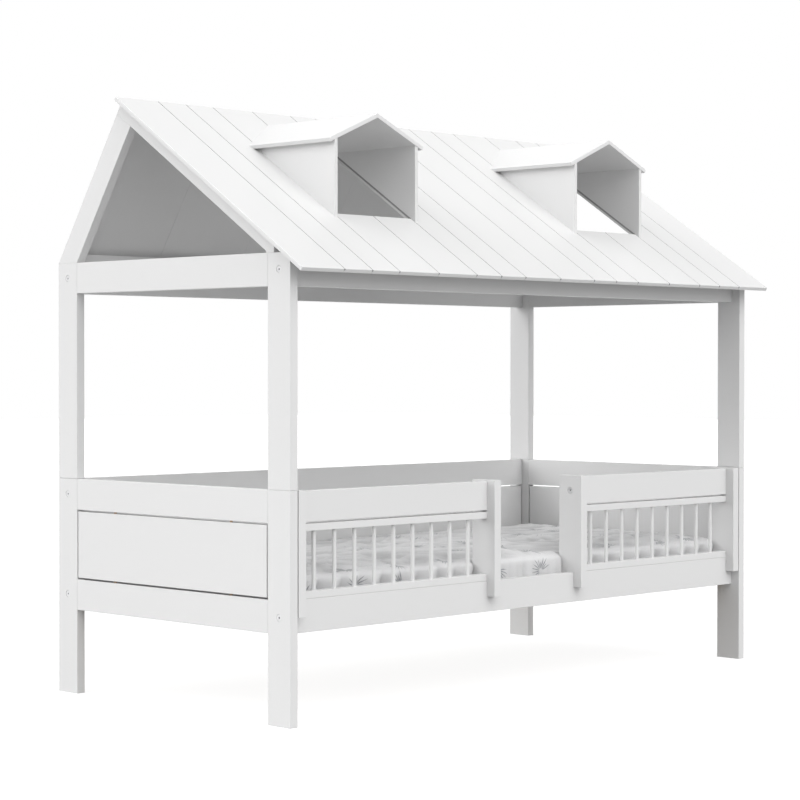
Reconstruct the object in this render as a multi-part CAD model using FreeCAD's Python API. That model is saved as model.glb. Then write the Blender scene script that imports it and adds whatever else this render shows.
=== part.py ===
import FreeCAD, Part
import math
import os
from FreeCAD import Rotation, Vector

# House frame bed: four posts, two panelled ends, a panelled back, two lift-off
# guards at the front, a slatted base with its mattress, and a boarded roof of
# two unequal slopes with two dormers in the long front slope.
# Millimetres. X runs along the bed, Y from the front to the back, Z up.

# mattress and the space it lies in
mattress_length = 1990.0
mattress_width = 880.0
mattress_height = 120.0
mattress_end_gap = 12.0      # mattress to the end boards
mattress_side_gap = 11.5     # mattress to the side rails
mattress_lift = 0.3          # mattress above the slats
mattress_corner = 45.0       # plan radius
mattress_bulge = 4.0         # sides drawn in at top and bottom
mattress_roll = 22.0         # radius of the top and bottom borders
mattress_crown = 6.0         # middle of the top above its border
mattress_crown_width = 130.0 # over which the top rises to its full height
mattress_roll_steps = 5      # outlines that shape each rounded border
mattress_side_steps = 4
mattress_crown_steps = 4
leg_dent_play = 2.0          # mattress clear of the guards' legs

# timber
board_thickness = 28.0       # posts, rails, panels, guards and rafters
post_width = 89.0
rail_height = 91.0
edge_round = 1.0             # eased edges of the timber
joint_line = 0.5             # open line where a rail, or the upper length of a post, meets a post
round_limit = 0.3            # share of a thin piece that its rounding may take

# heights
rail_base = 250.0            # underside of the bottom rails above the floor
lower_post_height = 640.0
upper_post_height = 643.0
panel_gap = 5.5              # open line all round each panel

# slatted base
ledger_width = 22.0
ledger_height = 25.0
ledger_lift = 3.0            # ledger above the underside of the rail
ledger_end_gap = 4.0
slat_width = 70.0
slat_thickness = 12.0
slat_count = 14
slat_side_gap = 2.0
slat_end_gap = 27.0          # end board to the first slat
slats_per_ledger_screw = 3

# front guards
entry_width = 370.0          # way in between the two guards
guard_post_gap = 4.0
guard_leg = 46.0             # how far the upright boards reach down over the rail
guard_seat = 0.3             # guard above the rail that it stands on
guard_slot_play = 0.5        # walls of the slot to the faces of the rail
guard_top_drop = 4.0         # top board below the tips of the upright boards
guard_top_height = 85.0
guard_top_gap = 5.0
lath_height = 20.0
tenon_length = 8.0
tenon_shoulder = 3.0
spindle_diameter = 12.0
spindle_count = 9
spindle_end_gap = 69.4       # upright board to the axis of the first spindle
spindle_socket = 9.0

# main roof
front_pitch = 33.2           # degrees; the back slope stands square to the front one
roof_thickness = 12.0
front_seat_setback = 15.5    # front face of the post to where the roof crosses its top
eave_overhang = 68.0         # front face of the post to the roof's lower front edge
verge_overhang = 25.0
ridge_oversail = 5.0         # front slope past the outer face of the back rafters
front_panel_count = 4
front_rafter_depth = 40.0
rafter_toe = 25.0            # front rafter's foot, from the inner edge of the post out
rafter_heel = 8.0            # and in, over the cross rail
batten_width = 28.0          # ridge batten, along the front slope
bearer_height = 28.0
groove_width = 2.4           # between the boards of a panel, and where two panels meet
groove_depth = 5.0
roof_edge_round = 1.5
back_panel_count = 6

# dormers, one over each outer joint between two front panels
dormer_width = 317.0         # between the cheeks; each half is a wide board of the roof
dormer_front = 174.0         # front face of the post to the front edge of the cheeks
dormer_wall = 225.0          # height of the cheek's inner face at its front edge
dormer_pitch = 23.5          # degrees
dormer_thickness = 12.0
dormer_eave = 21.5           # dormer roof past the cheek
dormer_oversail = 2.0
dormer_sill = 19.0           # roof left between the front of the cheeks and the opening

# connecting bolts and their barrel nuts
bolt_head_diameter = 18.5
bolt_head_height = 2.6
bolt_head_round = 0.7
bolt_diameter = 7.0
bolt_key = 5.0               # hexagon socket across its flats
bolt_key_depth = 4.0
bolt_sink_diameter = 20.0
bolt_sink_depth = 3.0
bolt_past_nut = 7.0
nut_diameter = 12.0
nut_length = 18.0
nut_inset = 68.0             # barrel nut from the outer face of the post
guard_screw_length = 62.0

# dowels and pins
dowel_diameter = 8.0
dowel_length = 36.0
dowel_in_post = 15.0
dowel_in_thin = 12.0         # in the rafters' seats and the bearers
dowel_offset = 27.0          # each side of a rail's middle
seat_dowel_offset = 19.0     # each side of a back rafter's middle
bearer_dowel_gap = 200.0     # end of a bearer to its first dowel
bearer_dowel_count = 4
panel_dowel_length = 30.0
end_panel_dowel = 256.0      # each side of the middle of an end panel
back_panel_dowel = 280.0     # end of the back panel to its first dowel
back_panel_dowel_count = 4
pin_diameter = 12.0
pin_length = 80.0
pin_dowel_gap = 1.5          # between a pin and the ends of the dowels beside it

# wood screws
screw_diameter = 4.0
screw_head_diameter = 8.0
screw_head_height = 2.4
screw_key = 3.0
screw_key_depth = 1.4
screw_cover = 2.0            # wood left past the tip of a roof screw
roof_screw_sink = 12.0       # heads below the face of the front rafters and ridge batten
slat_screw_length = 30.0
ridge_screw_offset = 120.0   # each side of the middle of a front panel
back_screw_offset = 95.0     # each side of the middle of a back panel
batten_screw_share = 1 / 3   # of the batten's depth, down to the back panels' upper screws
bearer_screw_share = 0.75    # of the bearer's height, up to their lower screws
rafter_screw_end = 130.0     # from the ends of a front rafter
rafter_screw_count = 3
fit = 0.05                   # radial play round dowels, pins, bolts and screws

# worked out from the sizes above
clear_length = mattress_length + 2 * mattress_end_gap
clear_width = mattress_width + 2 * mattress_side_gap
end_in = clear_length / 2
end_out = end_in + board_thickness
end_mid = (end_in + end_out) / 2
rail_in = clear_width / 2
rail_out = rail_in + board_thickness
rail_mid = (rail_in + rail_out) / 2
side_out = rail_mid + post_width / 2
side_in = side_out - post_width
rail_top = rail_base + rail_height
eave_height = lower_post_height + upper_post_height
bottom_axis = rail_base + rail_height / 2
top_axis = lower_post_height - rail_height / 2
eave_axis = eave_height - rail_height / 2
panel_base = rail_top + panel_gap
panel_top = lower_post_height - rail_height - panel_gap
ledger_base = rail_base + ledger_lift
slat_base = ledger_base + ledger_height
slat_top = slat_base + slat_thickness
slat_pitch = (clear_length - 2 * slat_end_gap - slat_width) / (slat_count - 1)

guard_out = end_in - guard_post_gap
guard_entry = entry_width / 2
bay_start = guard_entry + board_thickness
bay_end = guard_out - board_thickness
guard_base = rail_top - guard_leg
guard_board_top = lower_post_height - guard_top_drop
guard_board_base = guard_board_top - guard_top_height
lower_lath_base = rail_top + guard_seat
upper_lath_base = guard_board_base - guard_top_gap - lath_height

pitch = math.radians(front_pitch)
ridge_run = (2 * side_out - front_seat_setback) * math.cos(pitch)
eave_run = -(eave_overhang + front_seat_setback) / math.cos(pitch)
back_rafter_width = post_width * math.cos(pitch)
roof_half_length = end_out + verge_overhang
front_panel_width = 2 * roof_half_length / front_panel_count
back_panel_width = clear_length / back_panel_count
wide_board = dormer_width / 2
narrow_board = front_panel_width / 2 - wide_board
front_screw_length = front_rafter_depth - roof_screw_sink + roof_thickness - screw_cover
back_screw_length = roof_thickness + batten_width - screw_cover
bolt_length = nut_inset - bolt_sink_depth + nut_diameter / 2 + bolt_past_nut
pin_offset = post_width / 2 - dowel_in_post - pin_dowel_gap - pin_diameter / 2

along_x = Vector(1, 0, 0)
along_y = Vector(0, 1, 0)
along_z = Vector(0, 0, 1)
up_slope = Vector(0, math.cos(pitch), math.sin(pitch))
off_slope = Vector(0, -math.sin(pitch), math.cos(pitch))

pieces = {}                  # node name: the solids in it
cutters = {}                 # node name: what is cut out of its solids


# ---- places on the roof, in the plane across the bed ----

def slope_point(run, rise):
    """Y and Z, from the distance up the front slope and the height above its underside."""
    y = front_seat_setback - side_out + run * math.cos(pitch) - rise * math.sin(pitch)
    z = eave_height + run * math.sin(pitch) + rise * math.cos(pitch)
    return y, z


def run_at_y(y, rise):
    """Distance up the slope of a point at this height above its underside, from its Y."""
    return (y + rise * math.sin(pitch) - front_seat_setback + side_out) / math.cos(pitch)


def run_at_z(z, rise):
    """The same from its Z."""
    return (z - eave_height - rise * math.cos(pitch)) / math.sin(pitch)


def rise_at_z(z, run):
    """Height above the slope's underside, from the distance up the slope and Z."""
    return (z - eave_height - run * math.sin(pitch)) / math.cos(pitch)


dormer_centre = front_panel_width * (front_panel_count / 2 - 1)
cheek_out = wide_board + dormer_thickness
cheek_front = dormer_front - side_out
cheek_foot_run = run_at_y(cheek_front, roof_thickness)
cheek_top = slope_point(cheek_foot_run, roof_thickness)[1] + dormer_wall
dormer_slope = math.tan(math.radians(dormer_pitch))
dormer_peak = cheek_top + wide_board * dormer_slope


# ---- shapes ----

def box(x0, x1, y0, y1, z0, z1):
    """A plain box between its low and high faces."""
    return Part.makeBox(x1 - x0, y1 - y0, z1 - z0, Vector(x0, y0, z0))


def ease(shape, radius, thinnest, sharp=None):
    """Round the edges of a piece, except those that `sharp` picks."""
    edges = [edge for edge in shape.Edges if sharp is None or not sharp(edge)]
    return shape.makeFillet(min(radius, round_limit * thinnest), edges)


def board(x0, x1, y0, y1, z0, z1):
    """A board with all its edges eased."""
    return ease(box(x0, x1, y0, y1, z0, z1), edge_round, min(x1 - x0, y1 - y0, z1 - z0))


def prism(corners, reach):
    """A prism on a polygon, `reach` being its length as a vector."""
    return Part.Face(Part.makePolygon(corners + corners[:1])).extrude(reach)


def cross_prism(outline, x0, x1):
    """A prism along the bed, on an outline of Y and Z."""
    return prism([Vector(x0, y, z) for y, z in outline], along_x * (x1 - x0))


def slope_box(x0, x1, run0, run1, rise0, rise1):
    """A box that lies along the front slope."""
    lying = box(x0, x1, run0, run1, rise0, rise1)
    lying.rotate(Vector(), along_x, front_pitch)
    lying.translate(Vector(0, *slope_point(0, 0)))
    return lying


def hexagon(across, start, direction, depth):
    """A hexagonal prism that goes in at `start`."""
    corner = across / math.sqrt(3)
    turn = Rotation(along_z, direction)
    angles = [math.radians(60 * index) for index in range(6)]
    ring = [Vector(corner * math.cos(angle), corner * math.sin(angle), 0) for angle in angles]
    return prism([start + turn.multVec(point) for point in ring], direction * depth)


def rod(diameter, start, direction, length):
    """A round bar."""
    return Part.makeCylinder(diameter / 2, length, start, direction)


def add(node, *shapes):
    """Put solids into a node."""
    pieces.setdefault(node, []).extend(shapes)


def cut_out(tool, *nodes):
    """Have a shape cut out of the solids of these nodes."""
    for node in nodes:
        cutters.setdefault(node, []).append(tool)


# ---- fasteners, each with the holes that it needs ----

def pin(node, diameter, seam, direction, before, after, *nodes):
    """A round pin across the seam of a joint, so far in on each side."""
    start = seam - direction * before
    add(node, rod(diameter, start, direction, before + after))
    cut_out(rod(diameter + 2 * fit, start, direction, before + after), *nodes)


def dowel(seam, direction, before, *nodes):
    """A wood dowel, `before` mm of it on the near side of the seam."""
    pin("frame_dowels", dowel_diameter, seam, direction, before, dowel_length - before, *nodes)


def sunk_bolt(node, face, direction, length, *nodes):
    """A bolt with a flat round head and hexagon socket, sunk below the face that it enters."""
    seat = face + direction * bolt_sink_depth
    head = rod(bolt_head_diameter, seat, direction * -1, bolt_head_height)
    rim = [edge for edge in head.Edges if abs((edge.CenterOfMass - seat).Length - bolt_head_height) < 0.01]
    head = head.makeFillet(min(bolt_head_round, round_limit * bolt_head_height), rim)
    crown = seat - direction * bolt_head_height
    bolt = head.fuse(rod(bolt_diameter, seat, direction, length)).removeSplitter()
    add(node, bolt.cut(hexagon(bolt_key, crown, direction, bolt_key_depth)))
    cut_out(rod(bolt_sink_diameter, face, direction, bolt_sink_depth), *nodes)
    cut_out(rod(bolt_diameter + 2 * fit, face, direction, bolt_sink_depth + length), *nodes)


def connecting_bolt(side, y, z, post, rail):
    """A bolt through the post into the end of a rail, and the barrel nut that it screws into."""
    inward = along_x * -side
    sunk_bolt("frame_bolts", Vector(side * end_out, y, z), inward, bolt_length, post, rail)
    nut_x = side * (end_out - nut_inset)
    nut = rod(nut_diameter, Vector(nut_x, y, z - nut_length / 2), along_z, nut_length)
    thread = rod(bolt_diameter + 2 * fit, Vector(nut_x - nut_diameter, y, z), along_x, 2 * nut_diameter)
    add("barrel_nuts", nut.cut(thread))
    underside = z - rail_height / 2
    cut_out(rod(nut_diameter + 2 * fit, Vector(nut_x, y, underside), along_z,
                (rail_height + nut_length) / 2), rail)
    for offset in (-dowel_offset, dowel_offset):
        dowel(Vector(side * end_in, y, z + offset), inward, dowel_in_post, post, rail)


def screw_shape(seat, direction, length, play):
    """A countersunk screw from the middle of its head, grown all round by `play`."""
    head = Part.makeCone(screw_head_diameter / 2 + play, screw_diameter / 2 + play,
                         screw_head_height, seat, direction)
    return head.fuse(rod(screw_diameter + 2 * play, seat, direction, length)).removeSplitter()


def wood_screw(node, face, direction, length, sink, *nodes):
    """A countersunk screw, its head flush with the face or sunk below it."""
    seat = face + direction * sink
    add(node, screw_shape(seat, direction, length, 0).cut(
        hexagon(screw_key, seat, direction, screw_key_depth)))
    cut_out(screw_shape(seat, direction, length, fit), *nodes)
    if sink > 0:
        cut_out(rod(screw_head_diameter + 2 * fit, face, direction, sink), *nodes)


# ---- frame ----

def sides():
    """Left and right, as a name and a sign of X."""
    return (("left", -1), ("right", 1))


def span(side, near, far):
    """Low and high X of something between two distances from the middle, on one side."""
    return (near, far) if side > 0 else (-far, -near)


def make_posts():
    """Posts in two lengths, with two long pins in each seam."""
    for row, front in (("front", -1), ("back", 1)):
        for name, side in sides():
            lower = "post_lower_%s_%s" % (row, name)
            upper = "post_upper_%s_%s" % (row, name)
            width = span(side, end_in, end_out)
            depth = span(front, side_in, side_out)
            add(lower, board(*width, *depth, 0, lower_post_height))
            add(upper, board(*width, *depth, lower_post_height + joint_line, eave_height))
            if front < 0:
                cut_out(slope_box(*width, -post_width, post_width, 0, post_width), upper)
            for offset in (-pin_offset, pin_offset):
                seam = Vector(side * end_mid, front * rail_mid + offset, lower_post_height)
                pin("post_pins", pin_diameter, seam, along_z, pin_length / 2, pin_length / 2,
                    lower, upper)


def make_end(name, side):
    """Bottom rail, panel, top rail and cross rail between the two posts of one end."""
    width = span(side, end_in, end_out)
    rails = (("%s_end_bottom_rail" % name, bottom_axis, "post_lower"),
             ("%s_end_top_rail" % name, top_axis, "post_lower"),
             ("%s_cross_rail" % name, eave_axis, "post_upper"))
    for node, axis, post in rails:
        add(node, board(*width, joint_line - side_in, side_in - joint_line,
                        axis - rail_height / 2, axis + rail_height / 2))
        for row, front in (("front", -1), ("back", 1)):
            for offset in (-dowel_offset, dowel_offset):
                dowel(Vector(side * end_mid, front * side_in, axis + offset), along_y * -front,
                      dowel_in_post, "%s_%s_%s" % (post, row, name), node)
    panel = "%s_end_panel" % name
    half_panel = side_in - panel_gap
    add(panel, board(*width, -half_panel, half_panel, panel_base, panel_top))
    for front, row in ((-1, "front"), (1, "back")):
        panel_dowel(Vector(side * end_mid, front * end_panel_dowel, panel_base - panel_gap / 2), along_z,
                    "%s_end_bottom_rail" % name, panel)
        panel_dowel(Vector(side * end_mid, front * end_panel_dowel, panel_top + panel_gap / 2), along_z,
                    "%s_end_top_rail" % name, panel)
        panel_dowel(Vector(side * end_mid, front * (side_in - panel_gap / 2), (panel_base + panel_top) / 2),
                    along_y, "post_lower_%s_%s" % (row, name), panel)


def panel_dowel(middle, direction, *nodes):
    """A dowel that crosses the open line round a panel."""
    half = panel_dowel_length / 2
    pin("panel_dowels", dowel_diameter, middle, direction, half, half, *nodes)


def make_side_rails():
    """Rails along the front and the back, each bolted to the posts at its two ends."""
    rails = (("front_side_rail", "front", -1, bottom_axis, "post_lower"),
             ("back_side_rail", "back", 1, bottom_axis, "post_lower"),
             ("back_top_rail", "back", 1, top_axis, "post_lower"),
             ("front_eave_rail", "front", -1, eave_axis, "post_upper"),
             ("back_eave_rail", "back", 1, eave_axis, "post_upper"))
    for node, row, front, axis, post in rails:
        depth = span(front, rail_in, rail_out)
        add(node, board(joint_line - end_in, end_in - joint_line, *depth,
                        axis - rail_height / 2, axis + rail_height / 2))
        for name, side in sides():
            connecting_bolt(side, front * rail_mid, axis, "%s_%s_%s" % (post, row, name), node)


def make_back_panel():
    """The long panel between the two rails of the back."""
    half_length = end_in - panel_gap
    add("back_panel", board(-half_length, half_length, rail_in, rail_out, panel_base, panel_top))
    step = 2 * (half_length - back_panel_dowel) / (back_panel_dowel_count - 1)
    for index in range(back_panel_dowel_count):
        x = back_panel_dowel - half_length + index * step
        panel_dowel(Vector(x, rail_mid, panel_base - panel_gap / 2), along_z, "back_side_rail", "back_panel")
        panel_dowel(Vector(x, rail_mid, panel_top + panel_gap / 2), along_z, "back_top_rail", "back_panel")
    for name, side in sides():
        panel_dowel(Vector(side * (end_in - panel_gap / 2), rail_mid, (panel_base + panel_top) / 2),
                    along_x, "post_lower_back_%s" % name, "back_panel")


# ---- front guards ----

def make_guard(name, side):
    """Two upright boards that straddle the front rail, a top board, two laths and the spindles."""
    prefix = "guard_%s" % name
    outer = "%s_outer_board" % prefix
    inner = "%s_inner_board" % prefix
    top = "%s_top_board" % prefix
    laths = "%s_laths" % prefix
    screws = "%s_screws" % prefix
    for node, near, far in ((outer, bay_end, guard_out), (inner, guard_entry, bay_start)):
        width = span(side, near, far)
        add(node, board(*width, -side_out, -side_in, guard_base, lower_post_height))
        cut_out(box(*width, -rail_out - guard_slot_play, -rail_in + guard_slot_play,
                    guard_base, rail_top + guard_seat), node)
    bay = span(side, bay_start, bay_end)
    add(top, board(*bay, -rail_out, -rail_in, guard_board_base, guard_board_top))
    for base in (lower_lath_base, upper_lath_base):
        tenon = box(bay[0] - tenon_length, bay[1] + tenon_length,
                    -rail_out + tenon_shoulder, -rail_in - tenon_shoulder,
                    base + tenon_shoulder, base + lath_height - tenon_shoulder)
        rail = board(*bay, -rail_out, -rail_in, base, base + lath_height)
        add(laths, rail.fuse(tenon).removeSplitter())
        cut_out(tenon, inner, outer)
    step = (bay_end - bay_start - 2 * spindle_end_gap) / (spindle_count - 1)
    foot = lower_lath_base + lath_height - spindle_socket
    length = upper_lath_base + spindle_socket - foot
    for index in range(spindle_count):
        start = Vector(side * (bay_start + spindle_end_gap + index * step), -rail_mid, foot)
        add("%s_spindles" % prefix, rod(spindle_diameter, start, along_z, length))
        cut_out(rod(spindle_diameter + 2 * fit, start, along_z, length), laths)
    axis = (guard_board_base + guard_board_top) / 2
    sunk_bolt(screws, Vector(side * guard_entry, -rail_mid, axis), along_x * side,
              guard_screw_length, inner, top)
    sunk_bolt(screws, Vector(side * guard_out, -rail_mid, axis), along_x * -side,
              guard_screw_length, outer, top)


# ---- slatted base and mattress ----

def make_base():
    """Ledgers screwed to the side rails, and the slats screwed down on them."""
    first = slat_width / 2 + slat_end_gap - end_in
    slat_reach = rail_in - slat_side_gap
    for index in range(slat_count):
        x = first + index * slat_pitch
        add("slats", board(x - slat_width / 2, x + slat_width / 2, -slat_reach, slat_reach,
                           slat_base, slat_top))
    for front, rail in ((-1, "front_side_rail"), (1, "back_side_rail")):
        depth = span(front, rail_in - ledger_width, rail_in)
        add("slat_ledgers", board(-end_in + ledger_end_gap, end_in - ledger_end_gap, *depth,
                                  ledger_base, slat_base))
        for index in range(slat_count):
            face = Vector(first + index * slat_pitch, front * (rail_in - ledger_width / 2), slat_top)
            wood_screw("slat_screws", face, along_z * -1, slat_screw_length, 0, "slats", "slat_ledgers")
        for index in range(0, slat_count - 1, slats_per_ledger_screw):
            face = Vector(first + (index + 0.5) * slat_pitch, front * (rail_in - ledger_width),
                          ledger_base + ledger_height / 2)
            wood_screw("slat_screws", face, along_y * front, slat_screw_length, 0, "slat_ledgers", rail)


def mattress_ring(inset, height):
    """Outline of the mattress at one height: four sides and four rounded corners."""
    half_length = mattress_length / 2 - inset
    half_width = mattress_width / 2 - inset
    z = slat_top + mattress_lift + height
    straight_x = half_length - mattress_corner
    straight_y = half_width - mattress_corner
    edges = []
    for index, (cx, cy) in enumerate(((straight_x, straight_y), (-straight_x, straight_y),
                                      (-straight_x, -straight_y), (straight_x, -straight_y))):
        ends = []
        for share in (0, 0.5, 1):
            angle = math.radians(90 * (index + share))
            ends.append(Vector(cx + mattress_corner * math.cos(angle),
                               cy + mattress_corner * math.sin(angle), z))
        if edges:
            edges.append(Part.LineSegment(last, ends[0]).toShape())
        else:
            first = ends[0]
        edges.append(Part.Arc(*ends).toShape())
        last = ends[2]
    edges.append(Part.LineSegment(last, first).toShape())
    return Part.Wire(edges)


def make_mattress():
    """A crowned pad with rounded borders, dented where the legs of the guards press in."""
    border = mattress_height - mattress_crown
    corner = []
    for step in range(mattress_roll_steps + 1):
        turn = math.pi / 2 * step / mattress_roll_steps
        corner.append((mattress_bulge + mattress_roll * (1 - math.sin(turn)),
                       mattress_roll * (1 - math.cos(turn))))
    rings = list(corner)
    for step in range(1, mattress_side_steps):
        share = step / mattress_side_steps
        height = mattress_roll + share * (border - 2 * mattress_roll)
        rings.append((mattress_bulge * (1 - math.sin(math.pi * share)), height))
    rings += [(inset, border - height) for inset, height in reversed(corner)]
    for step in range(1, mattress_crown_steps + 1):
        share = step / mattress_crown_steps
        inset = mattress_bulge + mattress_roll + mattress_crown_width * share
        rings.append((inset, border + mattress_crown * math.sin(math.pi / 2 * share)))
    pad = Part.makeLoft([mattress_ring(*ring) for ring in rings], True, True)
    dent = -side_in + leg_dent_play
    for name, side in sides():
        for near, far in ((guard_entry, bay_start), (bay_end, guard_out)):
            width = span(side, near - leg_dent_play, far + leg_dent_play)
            pad = pad.cut(box(*width, -side_out, dent, 0, lower_post_height))
    add("mattress", pad)


# ---- main roof ----

def make_rafters(name, side):
    """One gable: the front rafter, and the back rafter that butts up under it."""
    width = span(side, end_in, end_out)
    front = "rafter_front_%s" % name
    back = "rafter_back_%s" % name
    toe = -side_in - rafter_toe
    heel = -side_in + rafter_heel
    heel_run = run_at_y(heel, -front_rafter_depth)
    add(front, ease(cross_prism([
        (toe, eave_height),
        slope_point(run_at_y(toe, 0), 0),
        slope_point(ridge_run, 0),
        slope_point(ridge_run, -front_rafter_depth),
        slope_point(heel_run, -front_rafter_depth),
        (heel, eave_height)], *width), edge_round, board_thickness))
    add(back, ease(cross_prism([
        (side_out, eave_height),
        slope_point(ridge_run, -front_rafter_depth),
        slope_point(ridge_run - back_rafter_width, -front_rafter_depth),
        (side_in, eave_height)], *width), edge_round, board_thickness))
    back_post = "post_upper_back_%s" % name
    for offset in (-seat_dowel_offset, seat_dowel_offset):
        dowel(Vector(side * end_mid, rail_mid + offset, eave_height), along_z, dowel_in_thin,
              back_post, back)
        apex = slope_point(ridge_run - back_rafter_width / 2 + offset, -front_rafter_depth)
        dowel(Vector(side * end_mid, *apex), off_slope * -1, dowel_in_thin, front, back)
    dowel(Vector(side * end_mid, -side_in - rafter_toe / 2, eave_height), along_z, dowel_in_thin,
          "post_upper_front_%s" % name, front)
    first = run_at_y(heel, -front_rafter_depth) + rafter_screw_end
    step = (ridge_run - rafter_screw_end - first) / (rafter_screw_count - 1)
    outer_panel = "roof_panel_front_%d" % (1 if side < 0 else front_panel_count)
    for index in range(rafter_screw_count):
        face = Vector(side * end_mid, *slope_point(first + index * step, -front_rafter_depth))
        wood_screw("roof_screws", face, off_slope, front_screw_length, roof_screw_sink,
                   front, outer_panel)


def make_roof_bearers():
    """Ridge batten between the gables, and a bearer on top of each eave rail."""
    inner_run = ridge_run - roof_thickness
    add("ridge_batten", slope_box(-end_in, end_in, inner_run - batten_width, inner_run,
                                  -front_rafter_depth, 0))
    batten_middle = slope_point(inner_run - batten_width / 2, -front_rafter_depth / 2)
    for name, side in sides():
        dowel(Vector(side * end_in, *batten_middle), along_x * -side, dowel_in_post,
              "rafter_front_%s" % name, "ridge_batten")
    add("eave_bearer_front", cross_prism([
        (-rail_out, eave_height),
        (-rail_in, eave_height),
        slope_point(run_at_y(-rail_in, 0), 0),
        slope_point(run_at_y(-rail_out, 0), 0)], -end_in, end_in))
    bearer_top = eave_height + bearer_height
    add("eave_bearer_back", cross_prism([
        (rail_in, eave_height),
        slope_point(inner_run, rise_at_z(eave_height, inner_run)),
        slope_point(inner_run, rise_at_z(bearer_top, inner_run)),
        (rail_in, bearer_top)], -end_in, end_in))
    step = 2 * (end_in - bearer_dowel_gap) / (bearer_dowel_count - 1)
    for index in range(bearer_dowel_count):
        x = bearer_dowel_gap - end_in + index * step
        dowel(Vector(x, -rail_mid, eave_height), along_z, dowel_length - dowel_in_thin,
              "front_eave_rail", "eave_bearer_front")
        dowel(Vector(x, rail_mid, eave_height), along_z, dowel_length - dowel_in_thin,
              "back_eave_rail", "eave_bearer_back")


def groove(x):
    """A V-groove up the whole front slope, which also turns down over its two cut ends."""
    low = eave_run - roof_thickness
    high = ridge_run + ridge_oversail + roof_thickness
    half = groove_width / 2
    side = groove_depth * 2
    slant = half * side / groove_depth
    top = [(x - slant, side - groove_depth), (x + slant, side - groove_depth), (x, -groove_depth)]
    corners = [Vector(across, *slope_point(low, roof_thickness + up)) for across, up in top]
    cut = prism(corners, up_slope * (high - low))
    for run, facing in ((eave_run, -1), (ridge_run + ridge_oversail, 1)):
        corners = [Vector(across, *slope_point(run + facing * up, -roof_thickness)) for across, up in top]
        cut = cut.fuse(prism(corners, off_slope * (4 * roof_thickness)))
    return cut.removeSplitter()


def dormer_opening(centre):
    """The hole in the roof inside a dormer, up to where the dormer's roof meets the slope."""
    sill_run = cheek_foot_run + dormer_sill
    corner_run = run_at_z(cheek_top, roof_thickness)
    peak_run = run_at_z(dormer_peak, roof_thickness)
    outline = [(-wide_board, sill_run), (wide_board, sill_run), (wide_board, corner_run),
               (0, peak_run), (-wide_board, corner_run)]
    corners = [Vector(centre + across, *slope_point(run, -roof_thickness)) for across, run in outline]
    return prism(corners, off_slope * (3 * roof_thickness))


def make_front_panels():
    """Front slope: panels side by side, each grooved into four boards and at its joints."""
    openings = [dormer_opening(centre) for centre in (-dormer_centre, dormer_centre)]
    for index in range(front_panel_count):
        node = "roof_panel_front_%d" % (index + 1)
        x0 = index * front_panel_width - roof_half_length
        x1 = x0 + front_panel_width
        middle = (x0 + x1) / 2
        joints = [x for x in (x0, x1) if abs(x) < roof_half_length - verge_overhang]
        panel = slope_box(x0, x1, eave_run, ridge_run + ridge_oversail, 0, roof_thickness)
        add(node, ease(panel, roof_edge_round, roof_thickness,
                       lambda edge: any(abs(edge.CenterOfMass.x - x) < 1 for x in joints)))
        for x in joints + [middle - narrow_board, middle, middle + narrow_board]:
            cut_out(groove(x), node)
        for opening in openings:
            cut_out(opening, node)
        for offset in (-ridge_screw_offset, ridge_screw_offset):
            run = ridge_run - roof_thickness - batten_width / 2
            face = Vector(middle + offset, *slope_point(run, -front_rafter_depth))
            wood_screw("roof_screws", face, off_slope, front_screw_length, roof_screw_sink,
                       "ridge_batten", node)


def make_back_panels():
    """Back slope: plain panels between the back rafters, from the ridge down to the eave."""
    below = box(-end_out, end_out, -side_out, 2 * side_out, 0, eave_height)
    low = rise_at_z(eave_height, ridge_run)
    batten_rise = -front_rafter_depth * batten_screw_share
    inner_run = ridge_run - roof_thickness
    bearer_rise = rise_at_z(eave_height + bearer_height * bearer_screw_share, inner_run)
    for index in range(back_panel_count):
        x0 = index * back_panel_width - end_in
        middle = x0 + back_panel_width / 2
        panel = slope_box(x0, x0 + back_panel_width, inner_run, ridge_run, low - roof_thickness, 0)
        add("roof_panels_back", ease(panel, roof_edge_round, roof_thickness))
        for offset in (-back_screw_offset, back_screw_offset):
            for rise, bearer in ((batten_rise, "ridge_batten"), (bearer_rise, "eave_bearer_back")):
                face = Vector(middle + offset, *slope_point(ridge_run, rise))
                wood_screw("roof_screws", face, up_slope * -1, back_screw_length, 0,
                           "roof_panels_back", bearer)
    cut_out(below, "roof_panels_back")


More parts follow.
